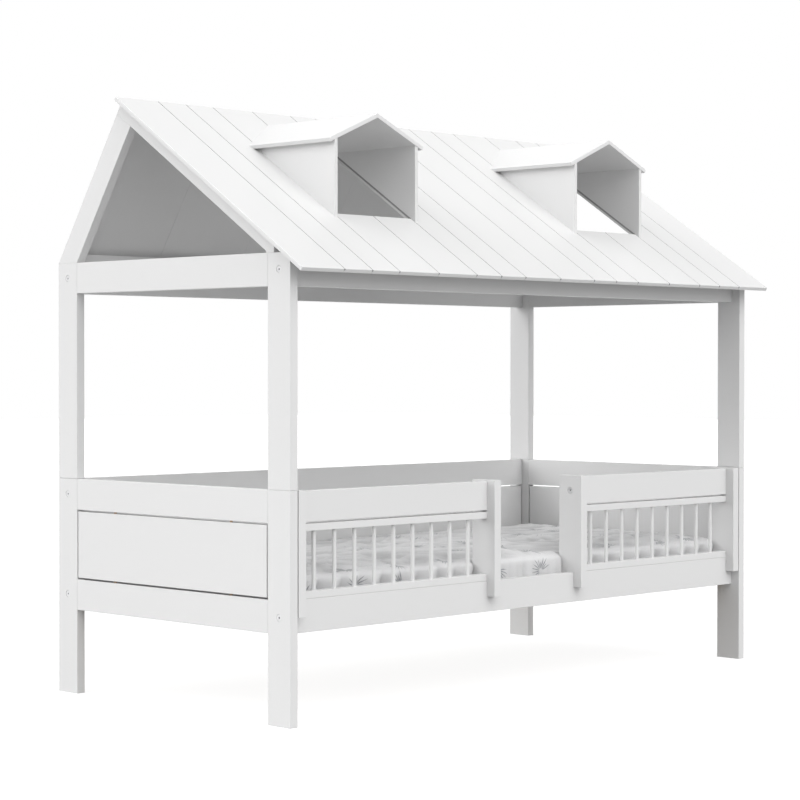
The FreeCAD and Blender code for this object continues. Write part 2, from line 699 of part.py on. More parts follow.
def make_dormer(name, centre):
    """Two cheeks that stand on the front slope, and a small roof of two mitred boards."""
    behind = slope_point(ridge_run, roof_thickness)[0]
    roof_solid = slope_box(-roof_half_length, roof_half_length, eave_run, ridge_run + post_width,
                           -side_out, roof_thickness)
    tilt = math.radians(dormer_pitch)
    thickness = dormer_thickness
    ridge_top = dormer_peak + thickness / math.cos(tilt)
    eave = cheek_out + dormer_eave
    eave_top = ridge_top - eave * dormer_slope
    roof_front = cheek_front - dormer_oversail
    under_roof = cheek_top - thickness
    foot = cheek_top - dormer_wall - roof_thickness
    for side in (-1, 1):
        cheek = [(wide_board, foot), (cheek_out, foot),
                 (cheek_out, cheek_top - thickness * dormer_slope), (wide_board, cheek_top)]
        corners = [Vector(centre + side * x, cheek_front, z) for x, z in cheek]
        wall = ease(prism(corners, along_y * (behind - cheek_front)), roof_edge_round, thickness,
                    lambda edge: edge.BoundBox.YMin > cheek_front + 1 or edge.BoundBox.ZMin > under_roof)
        add("dormer_%s_cheeks" % name, wall.cut(roof_solid))
        slab = [(0, dormer_peak), (0, ridge_top), (eave, eave_top),
                (eave - thickness * math.sin(tilt), eave_top - thickness * math.cos(tilt))]
        corners = [Vector(centre + side * x, roof_front, z) for x, z in slab]
        slope = ease(prism(corners, along_y * (behind - roof_front)), roof_edge_round, thickness,
                     lambda edge: abs(edge.CenterOfMass.x - centre) < 1)
        add("dormer_%s_roof" % name, slope.cut(roof_solid))


# ---- the whole bed ----

def make_bed():
    """All the pieces, by node."""
    make_posts()
    for name, side in sides():
        make_end(name, side)
        make_guard(name, side)
        make_rafters(name, side)
        make_dormer(name, side * dormer_centre)
    make_side_rails()
    make_back_panel()
    make_base()
    make_mattress()
    make_roof_bearers()
    make_front_panels()
    make_back_panels()


def export():
    """Cut the holes, centre the bed on its own depth and write one file for each node."""
    corner = slope_point(eave_run + roof_edge_round, roof_thickness - roof_edge_round)
    front_edge = corner[0] - roof_edge_round
    centring = Vector(0, -(front_edge + side_out) / 2, 0)
    os.makedirs("parts", exist_ok=True)
    for node, solids in pieces.items():
        finished = []
        for solid in solids:
            near = [tool for tool in cutters.get(node, []) if tool.BoundBox.intersect(solid.BoundBox)]
            if near:
                solid = solid.cut(near)
            finished += solid.Solids
        for solid in finished:
            solid.translate(centring)
        shape = finished[0] if len(finished) == 1 else Part.makeCompound(finished)
        shape.exportStep("parts/%s.step" % node)


make_bed()
export()
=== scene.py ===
import math

import bmesh
import bpy
import numpy as np
from mathutils import Matrix, Vector, noise


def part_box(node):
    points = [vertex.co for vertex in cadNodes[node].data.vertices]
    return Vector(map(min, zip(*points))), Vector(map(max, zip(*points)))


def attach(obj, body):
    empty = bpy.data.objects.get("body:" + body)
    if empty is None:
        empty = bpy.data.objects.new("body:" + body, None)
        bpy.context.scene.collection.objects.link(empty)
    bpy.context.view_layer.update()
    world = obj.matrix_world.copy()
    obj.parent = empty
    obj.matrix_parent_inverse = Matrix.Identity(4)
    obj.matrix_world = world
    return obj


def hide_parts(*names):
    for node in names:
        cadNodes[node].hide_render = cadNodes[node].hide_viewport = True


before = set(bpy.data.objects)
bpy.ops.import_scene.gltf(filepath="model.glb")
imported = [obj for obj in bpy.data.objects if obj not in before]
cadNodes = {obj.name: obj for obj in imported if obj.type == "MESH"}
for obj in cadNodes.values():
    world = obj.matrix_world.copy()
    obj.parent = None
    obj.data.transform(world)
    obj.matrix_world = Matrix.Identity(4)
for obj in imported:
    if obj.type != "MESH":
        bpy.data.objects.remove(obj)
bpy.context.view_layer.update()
scene = bpy.context.scene
scene.view_settings.view_transform = "Standard"


# camera, found from the straight lines of the bed in the photo
cameraPlan = {
    "place": (-5.1309, -4.8874, 0.9675),
    "heading": 45.664,       # degrees from +Y towards +X
    "pitch": -0.788,
    "roll": 0.036,
    "lens": 100.85,          # mm
    "sensor": 36,
}


def makeCamera(plan):
    data = bpy.data.cameras.new("photoCamera")
    data.lens = plan["lens"]
    data.sensor_width = plan["sensor"]
    data.clip_end = 100
    camera = bpy.data.objects.new("photoCamera", data)
    turn = Matrix.Rotation(-math.radians(plan["heading"]), 4, "Z")
    lift = Matrix.Rotation(math.radians(90 + plan["pitch"]), 4, "X")
    roll = Matrix.Rotation(math.radians(plan["roll"]), 4, "Z")
    camera.matrix_world = Matrix.Translation(plan["place"]) @ turn @ lift @ roll
    scene.collection.objects.link(camera)
    scene.camera = camera


makeCamera(cameraPlan)
print("camera in place")


# small helpers for node trees

def feed(tree, socket, value):
    if isinstance(value, bpy.types.NodeSocket):
        tree.links.new(value, socket)
    else:
        socket.default_value = value


def calc(tree, operation, *values, clamp=False):
    node = tree.nodes.new("ShaderNodeMath")
    node.operation = operation
    node.use_clamp = clamp
    for socket, value in zip(node.inputs, values):
        feed(tree, socket, value)
    return node.outputs[0]


def vectorCalc(tree, operation, *values):
    node = tree.nodes.new("ShaderNodeVectorMath")
    node.operation = operation
    for socket, value in zip(node.inputs, values):
        feed(tree, socket, value)
    return node.outputs[0]


def mixColour(tree, factor, first, second):
    node = tree.nodes.new("ShaderNodeMix")
    node.data_type = "RGBA"                  # its colours are inputs 6 and 7, its result is output 2
    feed(tree, node.inputs[0], factor)
    feed(tree, node.inputs[6], first)
    feed(tree, node.inputs[7], second)
    return node.outputs[2]


def remap(tree, value, low, high, newLow, newHigh, smooth=False):
    node = tree.nodes.new("ShaderNodeMapRange")
    node.interpolation_type = "SMOOTHSTEP" if smooth else "LINEAR"
    for socket, number in zip(node.inputs, (value, low, high, newLow, newHigh)):
        feed(tree, socket, number)
    return node.outputs[0]


def noiseAt(tree, vector, scale, detail=2.0, roughness=0.5):
    node = tree.nodes.new("ShaderNodeTexNoise")
    feed(tree, node.inputs["Vector"], vector)
    node.inputs["Scale"].default_value = scale
    node.inputs["Detail"].default_value = detail
    node.inputs["Roughness"].default_value = roughness
    return node.outputs["Fac"]


def splitVector(tree, vector):
    node = tree.nodes.new("ShaderNodeSeparateXYZ")
    feed(tree, node.inputs[0], vector)
    return node.outputs


def joinVector(tree, x, y, z=0.0):
    node = tree.nodes.new("ShaderNodeCombineXYZ")
    for socket, value in zip(node.inputs, (x, y, z)):
        feed(tree, socket, value)
    return node.outputs[0]


def startGroup(name, inputs, outputs):
    # inputs: (label, kind, starting value); outputs: (label, kind)
    group = bpy.data.node_groups.new(name, "ShaderNodeTree")
    for label, kind, value in inputs:
        socket = group.interface.new_socket(label, in_out="INPUT", socket_type="NodeSocket" + kind)
        if value is not None:
            socket.default_value = value
    for label, kind in outputs:
        group.interface.new_socket(label, in_out="OUTPUT", socket_type="NodeSocket" + kind)
    start = group.nodes.new("NodeGroupInput")
    end = group.nodes.new("NodeGroupOutput")
    return group, start.outputs, end.inputs


def placeGroup(tree, group, **values):
    node = tree.nodes.new("ShaderNodeGroup")
    node.node_tree = group
    for label, value in values.items():
        feed(tree, node.inputs[label], value)
    return node.outputs


def startMaterial(name):
    material = bpy.data.materials.new(name)
    material.use_nodes = True
    return material, material.node_tree, material.node_tree.nodes["Principled BSDF"]


def addBump(tree, shader, height, distance, strength=1.0):
    bump = tree.nodes.new("ShaderNodeBump")
    bump.inputs["Strength"].default_value = strength
    bump.inputs["Distance"].default_value = distance
    feed(tree, bump.inputs["Height"], height)
    tree.links.new(bump.outputs["Normal"], shader.inputs["Normal"])


# studio: white floor, and a sky that lights the bed from its brighter parts
studioPlan = {
    "floorSize": 60.0,
    "floorColour": (0.37, 0.37, 0.37, 1),    # what the floor throws back on the bed
    "floorSeen": (0.22, 0.22, 0.22, 1),      # its colour to the camera, which keeps the shadow faint
    "floorGlow": (0.89, 1.0),                # seen by the camera only, near the bed and far off
    "glowReach": (2.2, 6.0),                 # metres from the bed between which it rises
    "skyLight": 0.13,
    "skyGlows": (                            # broad bright parts of the sky: way to each, strength, tightness
        ((-0.70, 0.60, 0.45), 5.05, 8),
        ((-0.10, -0.75, 0.60), 3.34, 4),
    ),
}


def seenDirectly(tree):
    # 1 for camera, mirror and glass rays, 0 for the light that falls on the bed
    path = tree.nodes.new("ShaderNodeLightPath")
    camera = path.outputs["Is Camera Ray"]
    either = calc(tree, "MAXIMUM", camera, path.outputs["Is Glossy Ray"])
    return calc(tree, "MAXIMUM", either, path.outputs["Is Transmission Ray"])


def makeFloor(plan):
    half = plan["floorSize"] / 2
    mesh = bpy.data.meshes.new("studioFloor")
    corners = [(-half, -half, 0), (half, -half, 0), (half, half, 0), (-half, half, 0)]
    mesh.from_pydata(corners, [], [(0, 1, 2, 3)])
    floor = bpy.data.objects.new("studioFloor", mesh)
    scene.collection.objects.link(floor)
    material, tree, shader = startMaterial("paleFloor")
    tree.nodes.remove(shader)
    seen = seenDirectly(tree)
    matt = tree.nodes.new("ShaderNodeBsdfDiffuse")
    feed(tree, matt.inputs["Color"], mixColour(tree, seen, plan["floorColour"], plan["floorSeen"]))
    glow = tree.nodes.new("ShaderNodeEmission")
    place = tree.nodes.new("ShaderNodeTexCoord").outputs["Object"]
    away = vectorCalc(tree, "LENGTH", place).node.outputs["Value"]
    level = remap(tree, away, *plan["glowReach"], *plan["floorGlow"], smooth=True)
    feed(tree, glow.inputs["Strength"], calc(tree, "MULTIPLY", seen, level))
    both = tree.nodes.new("ShaderNodeAddShader")
    tree.links.new(matt.outputs[0], both.inputs[0])
    tree.links.new(glow.outputs[0], both.inputs[1])
    tree.links.new(both.outputs[0], tree.nodes["Material Output"].inputs["Surface"])
    mesh.materials.append(material)


def makeSky(plan):
    world = bpy.data.worlds.new("studioSky")
    scene.world = world
    world.use_nodes = True
    tree = world.node_tree
    sky = tree.nodes["Background"]
    sky.inputs["Color"].default_value = (1, 1, 1, 1)
    away = tree.nodes.new("ShaderNodeTexCoord").outputs["Generated"]
    level = plan["skyLight"]
    for way, strength, tightness in plan["skyGlows"]:
        facing = vectorCalc(tree, "DOT_PRODUCT", away, Vector(way).normalized()).node.outputs["Value"]
        glow = calc(tree, "POWER", calc(tree, "MAXIMUM", facing, 0.0), tightness)
        level = calc(tree, "MULTIPLY_ADD", glow, strength, level)
    feed(tree, sky.inputs["Strength"], remap(tree, seenDirectly(tree), 0, 1, level, 1))


makeFloor(studioPlan)
makeSky(studioPlan)
print("studio lit by its sky, with", len(studioPlan["skyGlows"]), "bright parts")


# shared effects, each a node group

def makePaintFilm():
    # sprayed lacquer on planed timber: faint tone drift, grain showing through, orange peel
    group, given, result = startGroup("paintFilm", [
        ("Vector", "Vector", None),
        ("Colour", "Color", (0.9, 0.9, 0.9, 1)),
        ("Drift", "Float", 0.015),
        ("Roughness", "Float", 0.4),
        ("Roughness Drift", "Float", 0.08),
        ("Grain", "Float", 0.35)],
        [("Colour", "Color"), ("Roughness", "Float"), ("Height", "Float")])
    along = vectorCalc(group, "MULTIPLY", given["Vector"], (5.0, 230.0, 230.0))
    grain = noiseAt(group, along, 1.0, 3.0, 0.6)
    peel = noiseAt(group, given["Vector"], 700.0, 1.0)
    cloud = noiseAt(group, given["Vector"], 1.7, 2.0)
    smear = noiseAt(group, vectorCalc(group, "MULTIPLY", given["Vector"], (3.0, 26.0, 26.0)), 1.0, 2.0)
    tone = calc(group, "ADD", calc(group, "SUBTRACT", cloud, 0.5), calc(group, "SUBTRACT", smear, 0.5))
    gain = calc(group, "MULTIPLY_ADD", tone, given["Drift"], 1.0)
    scaled = vectorCalc(group, "SCALE", given["Colour"])
    feed(group, scaled.node.inputs["Scale"], gain)
    group.links.new(scaled, result["Colour"])
    worn = calc(group, "SUBTRACT", smear, 0.5)
    rough = calc(group, "MULTIPLY_ADD", worn, given["Roughness Drift"], given["Roughness"])
    group.links.new(rough, result["Roughness"])
    height = calc(group, "MULTIPLY_ADD", grain, given["Grain"], calc(group, "MULTIPLY", peel, 0.25))
    group.links.new(height, result["Height"])
    return group


def makeTimberGrain():
    # rings cut along the board, with fibres and a little colour drift; the grain runs along X
    group, given, result = startGroup("timberGrain", [
        ("Vector", "Vector", None),
        ("Early Wood", "Color", (0.8, 0.6, 0.4, 1)),
        ("Late Wood", "Color", (0.6, 0.4, 0.2, 1)),
        ("Ring Width", "Float", 0.006),
        ("Ring Contrast", "Float", 0.6),
        ("Roughness", "Float", 0.5)],
        [("Colour", "Color"), ("Roughness", "Float"), ("Height", "Float")])
    slow = noiseAt(group, vectorCalc(group, "MULTIPLY", given["Vector"], (1.1, 7.0, 7.0)), 1.0, 3.0)
    fibre = noiseAt(group, vectorCalc(group, "MULTIPLY", given["Vector"], (14.0, 620.0, 620.0)), 1.0, 3.0)
    part = splitVector(group, given["Vector"])
    across = calc(group, "ADD", part["Y"], calc(group, "MULTIPLY", part["Z"], 0.6))
    bent = calc(group, "MULTIPLY_ADD", slow, 0.07, across)
    phase = calc(group, "FRACT", calc(group, "DIVIDE", bent, given["Ring Width"]))
    rise = calc(group, "POWER", phase, 3.0)
    fall = remap(group, phase, 0.94, 1.0, 1.0, 0.0, smooth=True)
    ring = calc(group, "MULTIPLY", rise, fall)
    mark = calc(group, "MULTIPLY", ring, given["Ring Contrast"])
    mark = calc(group, "MULTIPLY_ADD", fibre, 0.25, mark, clamp=True)
    group.links.new(mixColour(group, mark, given["Early Wood"], given["Late Wood"]), result["Colour"])
    group.links.new(calc(group, "MULTIPLY_ADD", fibre, 0.15, given["Roughness"]), result["Roughness"])
    group.links.new(calc(group, "MULTIPLY_ADD", ring, 0.5, fibre), result["Height"])
    return group


def makeClothWeave():
    # plain weave, one thread over and one under; Vector is the cover laid flat, in metres
    group, given, result = startGroup("clothWeave", [
        ("Vector", "Vector", None),
        ("Thread", "Float", 0.0006)],
        [("Shade", "Float"), ("Height", "Float")])
    part = splitVector(group, given["Vector"])
    wander = calc(group, "MULTIPLY", noiseAt(group, given["Vector"], 260.0), 0.5)
    u = calc(group, "ADD", calc(group, "DIVIDE", part["X"], given["Thread"]), wander)
    v = calc(group, "ADD", calc(group, "DIVIDE", part["Y"], given["Thread"]), wander)
    warp = calc(group, "SINE", calc(group, "MULTIPLY", u, math.pi))
    weft = calc(group, "SINE", calc(group, "MULTIPLY", v, math.pi))
    over = calc(group, "GREATER_THAN", calc(group, "MULTIPLY", warp, weft), 0.0)
    warpUp = calc(group, "MULTIPLY", calc(group, "ABSOLUTE", warp), over)
    under = calc(group, "SUBTRACT", 1.0, over)
    weftUp = calc(group, "MULTIPLY", calc(group, "ABSOLUTE", weft), under)
    height = calc(group, "ADD", warpUp, weftUp)
    group.links.new(height, result["Height"])
    slub = noiseAt(group, vectorCalc(group, "MULTIPLY", given["Vector"], (60.0, 900.0, 1.0)), 1.0, 2.0)
    shade = calc(group, "MULTIPLY_ADD", slub, 0.3, calc(group, "MULTIPLY", height, 0.7))
    group.links.new(shade, result["Shade"])
    return group


def makeReedPrint():
    # clumps of reeds strewn over cells of the cover, each a fan of thin tapered leaves
    group, given, result = startGroup("reedPrint", [
        ("Vector", "Vector", None),
        ("Cell", "Vector", (0.2, 0.1, 1.0)),
        ("Share", "Float", 0.6),             # of the cells that carry a clump
        ("Reach", "Float", 0.055),
        ("Leaves", "Float", 20.0),           # that a full circle would hold
        ("Leaf Width", "Float", 0.0021)],
        [("Mask", "Float")])
    scaled = vectorCalc(group, "DIVIDE", given["Vector"], given["Cell"])
    chance = group.nodes.new("ShaderNodeTexWhiteNoise")
    chance.noise_dimensions = "3D"
    feed(group, chance.inputs["Vector"], vectorCalc(group, "FLOOR", scaled))
    luck = splitVector(group, chance.outputs["Color"])
    local = splitVector(group, vectorCalc(group, "FRACTION", scaled))
    size = splitVector(group, given["Cell"])
    x = calc(group, "SUBTRACT", local["X"], remap(group, luck["X"], 0, 1, 0.35, 0.65))
    y = calc(group, "SUBTRACT", local["Y"], remap(group, luck["Y"], 0, 1, 0.38, 0.62))
    x = calc(group, "MULTIPLY", x, size["X"])
    y = calc(group, "MULTIPLY", y, size["Y"])
    squares = calc(group, "ADD", calc(group, "MULTIPLY", x, x), calc(group, "MULTIPLY", y, y))
    reach = calc(group, "SQRT", squares)
    curl = remap(group, luck["Y"], 0, 1, -9.0, 9.0)      # radians per metre out from the foot
    lean = calc(group, "MULTIPLY_ADD", reach, curl, calc(group, "ARCTAN2", y, x))
    lean = calc(group, "ADD", calc(group, "DIVIDE", lean, 2 * math.pi), luck["Z"])
    turn = calc(group, "FRACT", lean)
    leaf = calc(group, "MULTIPLY", turn, given["Leaves"])
    gap = calc(group, "ABSOLUTE", calc(group, "SUBTRACT", calc(group, "FRACT", leaf), 0.5))
    gap = calc(group, "MULTIPLY", calc(group, "MULTIPLY", gap, 2 * math.pi), reach)
    gap = calc(group, "DIVIDE", gap, given["Leaves"])    # metres from the middle of a leaf
    own = group.nodes.new("ShaderNodeTexWhiteNoise")
    own.noise_dimensions = "1D"
    feed(group, own.inputs["W"], calc(group, "FLOOR", leaf))
    tip = calc(group, "MULTIPLY", given["Reach"], remap(group, own.outputs["Value"], 0, 1, 0.55, 1.0))
    along = remap(group, reach, 0.006, tip, 0.0, 1.0)
    taper = calc(group, "SINE", calc(group, "MULTIPLY", calc(group, "POWER", along, 0.7), math.pi))
    half = calc(group, "MULTIPLY", taper, given["Leaf Width"])
    inLeaf = remap(group, calc(group, "SUBTRACT", half, gap), 0.0, 0.0004, 0.0, 1.0, smooth=True)
    inFan = calc(group, "LESS_THAN", turn, 0.6)
    present = calc(group, "LESS_THAN", chance.outputs["Value"], given["Share"])
    mask = calc(group, "MULTIPLY", inLeaf, calc(group, "MULTIPLY", inFan, present))
    group.links.new(mask, result["Mask"])
    return group


paintFilm = makePaintFilm()
timberGrain = makeTimberGrain()
clothWeave = makeClothWeave()
reedPrint = makeReedPrint()


# finishes
finishPlan = {
    "lacquer": (0.68, 0.68, 0.68, 1),
    "lacquerRoughness": 0.42,
    "grooveFloor": (0.28, 0.28, 0.28, 1),    # painted shade in the roof's grooves
    "grooveEdge": 0.12,                      # share of that painted shade on the eased edges beside a groove
    "grooveReach": 0.0022,                   # half the width, with those edges
    "grooveDepth": 0.005,
    "grooveSlack": 0.0004,                   # how exactly a height tells the top, the faces and the foot
    "pine": ((0.80, 0.62, 0.40, 1), (0.58, 0.36, 0.17, 1), 0.007),      # early and late wood, ring width
    "beech": ((0.72, 0.50, 0.31, 1), (0.55, 0.34, 0.19, 1), 0.002),
    "zinc": (0.80, 0.80, 0.81, 1),
    "keySocket": (0.06, 0.06, 0.06, 1),      # painted shade in a bolt's key
    "cover": (0.72, 0.72, 0.725, 1),
    "foldTone": (0.34, 0.34, 0.345, 1),      # painted shade on the cover at the foot of a deep fold and between wrinkles
    "ink": (0.20, 0.21, 0.23, 1),
}
roofPitch = 33.2             # degrees, the front slope
grainLean = {                # angle of the grain in the YZ plane, in degrees; None is along X
    "Long": None,
    "Cross": 0.0,
    "FrontSlope": roofPitch,
    "Upright": 90.0,
    "BackSlope": 90.0 + roofPitch,
}


def grainVector(tree, lean):
    # object coordinates, turned so that the grain runs along X
    source = tree.nodes.new("ShaderNodeTexCoord").outputs["Object"]
    if lean is None:
        return source
    mapping = tree.nodes.new("ShaderNodeMapping")
    mapping.inputs["Rotation"].default_value = (-math.radians(lean), 0, -math.pi / 2)
    tree.links.new(source, mapping.inputs["Vector"])
    return mapping.outputs[0]


def roofGrooveShade(tree):
    # where painted shade goes: 1 on the faces of the grooves between the roof's boards, less on their edges,
    # found by place
    low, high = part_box("roof_panel_front_1")
    panel = high.x - low.x
    off = Vector((0, -math.sin(math.radians(roofPitch)), math.cos(math.radians(roofPitch))))
    points = [vert.co for vert in cadNodes["roof_panel_front_1"].data.vertices]
    top = max(off.dot(point) for point in points)
    foot = top - finishPlan["grooveDepth"]
    slack = finishPlan["grooveSlack"]
    middles = {round(point.x - low.x, 4) for point in points if abs(off.dot(point) - foot) < slack}
    place = tree.nodes.new("ShaderNodeTexCoord").outputs["Object"]
    x = splitVector(tree, place)["X"]
    across = calc(tree, "FLOORED_MODULO", calc(tree, "SUBTRACT", x, low.x), panel)
    gap = across                             # from the joint with the panel before
    for middle in sorted(middles):
        gap = calc(tree, "MINIMUM", gap, calc(tree, "ABSOLUTE", calc(tree, "SUBTRACT", across, middle)))
    inGroove = calc(tree, "LESS_THAN", gap, finishPlan["grooveReach"])
    half = panel * sum(name.startswith("roof_panel_front_") for name in cadNodes) / 2
    inside = calc(tree, "COMPARE", x, low.x + half, half - panel / 10)     # not at the roof's two ends
    height = vectorCalc(tree, "DOT_PRODUCT", place, off).node.outputs["Value"]
    deep = remap(tree, height, top - slack, top - slack / 4, 1.0, finishPlan["grooveEdge"])
    above = calc(tree, "GREATER_THAN", height, foot - slack)
    mask = calc(tree, "MULTIPLY", calc(tree, "MULTIPLY", inGroove, inside), above)
    return calc(tree, "MULTIPLY", mask, deep)


def makeLacquer(way, lean):
    material, tree, shader = startMaterial("whiteLacquer" + way)
    film = placeGroup(tree, paintFilm, Vector=grainVector(tree, lean), Colour=finishPlan["lacquer"],
                      Roughness=finishPlan["lacquerRoughness"])
    colour = film["Colour"]
    if way == "FrontSlope":
        # painted shade in the grooves of the front slope
        colour = mixColour(tree, roofGrooveShade(tree), colour, finishPlan["grooveFloor"])
    tree.links.new(colour, shader.inputs["Base Color"])
    tree.links.new(film["Roughness"], shader.inputs["Roughness"])
    shader.inputs["Specular IOR Level"].default_value = 0.3
    addBump(tree, shader, film["Height"], 0.00012)
    return material


def makeTimber(name, early, late, ringWidth, lean):
    material, tree, shader = startMaterial(name)
    grain = placeGroup(tree, timberGrain, Vector=grainVector(tree, lean))
    inputs = grain["Colour"].node.inputs
    inputs["Early Wood"].default_value = early
    inputs["Late Wood"].default_value = late
    inputs["Ring Width"].default_value = ringWidth
    tree.links.new(grain["Colour"], shader.inputs["Base Color"])
    tree.links.new(grain["Roughness"], shader.inputs["Roughness"])
    addBump(tree, shader, grain["Height"], 0.0002)
    return material


def makeZinc():
    material, tree, shader = startMaterial("zincPlate")
    place = tree.nodes.new("ShaderNodeTexCoord").outputs["Object"]
    bloom = noiseAt(tree, place, 420.0, 3.0)
    tree.links.new(remap(tree, bloom, 0.3, 0.7, 0.26, 0.42), shader.inputs["Roughness"])
    darker = tuple(0.82 * channel for channel in finishPlan["zinc"][:3]) + (1,)
    plated = mixColour(tree, bloom, finishPlan["zinc"], darker)
    # painted shade in the key, where the bolt's keyShade attribute is 1
    keyShade = tree.nodes.new("ShaderNodeAttribute")
    keyShade.attribute_name = "keyShade"
    shaded = mixColour(tree, keyShade.outputs["Fac"], plated, finishPlan["keySocket"])
    tree.links.new(shaded, shader.inputs["Base Color"])
    shader.inputs["Metallic"].default_value = 1.0
    addBump(tree, shader, noiseAt(tree, place, 1500.0, 2.0), 0.00005)
    return material


lacquer = {way: makeLacquer(way, lean) for way, lean in grainLean.items()}
pineCross = makeTimber("planedPineCross", *finishPlan["pine"], grainLean["Cross"])
pineLong = makeTimber("planedPineLong", *finishPlan["pine"], grainLean["Long"])
beech = makeTimber("turnedBeech", *finishPlan["beech"], grainLean["Long"])
zinc = makeZinc()
print("finishes made")

# which way the grain runs in each lacquered board
boardWays = {
    "Long": ("front_side_rail", "back_side_rail", "back_panel", "back_top_rail", "front_eave_rail",
             "back_eave_rail", "ridge_batten", "eave_bearer_front", "eave_bearer_back",
             "guard_left_top_board", "guard_right_top_board", "guard_left_laths", "guard_right_laths"),
    "Cross": ("left_cross_rail", "right_cross_rail", "left_end_bottom_rail", "right_end_bottom_rail",
              "left_end_top_rail", "right_end_top_rail", "left_end_panel", "right_end_panel",
              "dormer_left_cheeks", "dormer_right_cheeks", "dormer_left_roof", "dormer_right_roof"),
    "FrontSlope": ("roof_panel_front_1", "roof_panel_front_2", "roof_panel_front_3", "roof_panel_front_4",
                   "rafter_front_left", "rafter_front_right"),
    "BackSlope": ("roof_panels_back", "rafter_back_left", "rafter_back_right"),
}
zincNodes = ("frame_bolts", "barrel_nuts", "roof_screws", "slat_screws", "guard_left_screws",
             "guard_right_screws")
beechNodes = ("frame_dowels", "panel_dowels", "post_pins")


def finishNode(name, material):
    for slot in cadNodes[name].material_slots:
        slot.material = material


def finishFrame():
    for name in cadNodes:
        finishNode(name, lacquer["Upright"])
    for way, names in boardWays.items():
        for name in names:
            finishNode(name, lacquer[way])
    for name in zincNodes:
        finishNode(name, zinc)
    for name in beechNodes:
        finishNode(name, beech)
    finishNode("slats", pineCross)
    finishNode("slat_ledgers", pineLong)


finishFrame()
print("boards, dowels and bolts finished")


# geometry trees, and the plain meshes that they leave

def startGeometryTree(name, inputs):
    tree = bpy.data.node_groups.new(name, "GeometryNodeTree")
    tree.interface.new_socket("Geometry", in_out="OUTPUT", socket_type="NodeSocketGeometry")
    tree.interface.new_socket("Geometry", in_out="INPUT", socket_type="NodeSocketGeometry")
    for label, kind in inputs:
        tree.interface.new_socket(label, in_out="INPUT", socket_type="NodeSocket" + kind)
    start = tree.nodes.new("NodeGroupInput")
    end = tree.nodes.new("NodeGroupOutput")
    return tree, start.outputs, end.inputs


def addNode(tree, kind, settings=None, **values):
    # settings are the node's own choices; values go to its inputs, by identifier
    node = tree.nodes.new(kind)
    for key, value in (settings or {}).items():
        setattr(node, key, value)
    sockets = {socket.identifier.replace(" ", ""): socket for socket in node.inputs}
    for key, value in values.items():
        feed(tree, sockets[key], value)
    return node.outputs


def growPiece(name, tree, values, seedMesh=None):
    seed = bpy.data.objects.new(name + "Seed", seedMesh or bpy.data.meshes.new(name + "Seed"))
    scene.collection.objects.link(seed)
    modifier = seed.modifiers.new("grow", "NODES")
    modifier.node_group = tree
    for item in tree.interface.items_tree:
        if item.in_out == "INPUT" and item.name in values:
            modifier[item.identifier] = values[item.name]
    grown = seed.evaluated_get(bpy.context.evaluated_depsgraph_get())
    mesh = bpy.data.meshes.new_from_object(grown)
    bpy.data.objects.remove(seed)
    piece = bpy.data.objects.new(name, mesh)
    scene.collection.objects.link(piece)
    return piece


def loosePieces(node):
    # the separate solids in a CAD node, each as an array of its points
    shell = bmesh.new()
    shell.from_mesh(cadNodes[node].data)
    bmesh.ops.remove_doubles(shell, verts=shell.verts, dist=1e-6)
    shell.verts.ensure_lookup_table()
    seen = set()
    found = []
    for first in shell.verts:
        if first.index in seen:
            continue
        seen.add(first.index)
        group = [first]
        for vert in group:
            for edge in vert.link_edges:
                other = edge.other_vert(vert)
                if other.index not in seen:
                    seen.add(other.index)
                    group.append(other)
        found.append(np.array([vert.co for vert in group]))
    shell.free()
    return found


# spindles: one row of turned dowels for each guard
spindlePlan = {
    "easedEnd": 0.0015,      # chamfer where a spindle enters its lath
    "sides": 32,
    "steps": 36,
}


def makeSpindleTree():
    tree, given, result = startGeometryTree("spindleRow", [
        ("Count", "Int"), ("First Foot", "Vector"), ("Spacing", "Vector"), ("Length", "Float"),
        ("Diameter", "Float"), ("Eased End", "Float"), ("Sides", "Int"), ("Steps", "Int"),
        ("Material", "Material")])
    top = joinVector(tree, 0.0, 0.0, given["Length"])
    line = addNode(tree, "GeometryNodeCurvePrimitiveLine", End=top)[0]
    line = addNode(tree, "GeometryNodeResampleCurve", Curve=line, Count=given["Steps"])[0]
    along = tree.nodes.new("GeometryNodeSplineParameter").outputs["Length"]
    toEnd = calc(tree, "MINIMUM", along, calc(tree, "SUBTRACT", given["Length"], along))
    ease = calc(tree, "SUBTRACT", given["Eased End"], toEnd)
    ease = calc(tree, "MAXIMUM", ease, 0.0)
    radius = calc(tree, "MULTIPLY", given["Diameter"], 0.5)
    share = calc(tree, "SUBTRACT", 1.0, calc(tree, "DIVIDE", ease, radius))
    ring = addNode(tree, "GeometryNodeCurvePrimitiveCircle", Resolution=given["Sides"], Radius=radius)[0]
    dowel = addNode(tree, "GeometryNodeCurveToMesh", Curve=line, ProfileCurve=ring, Scale=share,
                    FillCaps=True)[0]
    dowel = addNode(tree, "GeometryNodeSetShadeSmooth", Geometry=dowel)[0]
    row = addNode(tree, "GeometryNodeMeshLine", {"mode": "OFFSET"}, Count=given["Count"],
                  StartLocation=given["First Foot"], Offset=given["Spacing"])[0]
    placed = addNode(tree, "GeometryNodeInstanceOnPoints", Points=row, Instance=dowel)[0]
    solid = addNode(tree, "GeometryNodeRealizeInstances", Geometry=placed)[0]
    solid = addNode(tree, "GeometryNodeSetMaterial", Geometry=solid, Material=given["Material"])[0]
    tree.links.new(solid, result[0])
    return tree


